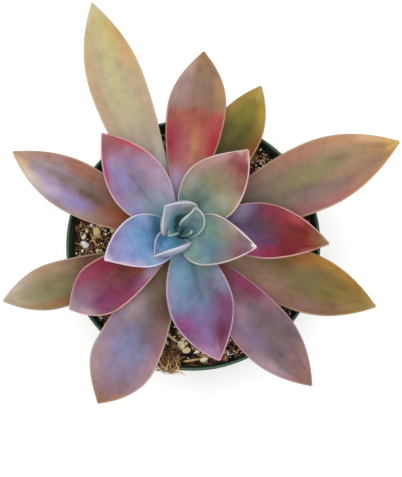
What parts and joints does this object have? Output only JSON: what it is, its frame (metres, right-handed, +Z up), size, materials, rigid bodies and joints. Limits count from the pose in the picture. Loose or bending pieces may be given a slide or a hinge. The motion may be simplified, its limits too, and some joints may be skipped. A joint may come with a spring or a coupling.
{
  "type": "potted rosette succulent",
  "caption": "Rosette succulent with long keeled leaves round an upright bud, planted in a tapered round nursery pot with a stiff rim and drain holes.",
  "frame": {"origin": "centre of the pot's flat underside, where it stands on the table", "axes": "+Z up along the pot's axis; +Y is the top of the picture, where the longest pale leaf points to the upper left"},
  "size_m": [0.1615, 0.1659, 0.1271],
  "materials": {
    "pot_plastic": "satin",
    "potting_mix": "matte",
    "stem_skin": "matte",
    "pale_leaf": "matte",
    "tan_leaf": "matte",
    "olive_leaf": "matte",
    "mauve_leaf": "matte",
    "red_leaf": "matte",
    "lavender_leaf": "matte",
    "grey_green_leaf": "matte",
    "blue_leaf": "matte",
    "bud_leaf": "matte"
  },
  "bodies": {
    "root": {"pot": "pot_plastic", "potting_mix": "potting_mix", "stem": "stem_skin", "leaf_01": "olive_leaf", "leaf_02": "tan_leaf", "leaf_03": "tan_leaf", "leaf_04": "pale_leaf", "leaf_05": "mauve_leaf", "leaf_06": "tan_leaf", "leaf_07": "mauve_leaf", "leaf_08": "mauve_leaf", "leaf_09": "red_leaf", "leaf_10": "red_leaf", "leaf_11": "red_leaf", "leaf_12": "lavender_leaf", "leaf_13": "lavender_leaf", "leaf_14": "grey_green_leaf", "leaf_15": "blue_leaf", "leaf_16": "grey_green_leaf", "bud_leaf_1": "bud_leaf", "bud_leaf_2": "bud_leaf", "bud_leaf_3": "bud_leaf", "bud_leaf_4": "bud_leaf", "bud_leaf_5": "bud_leaf"}
  },
  "joints": []
}
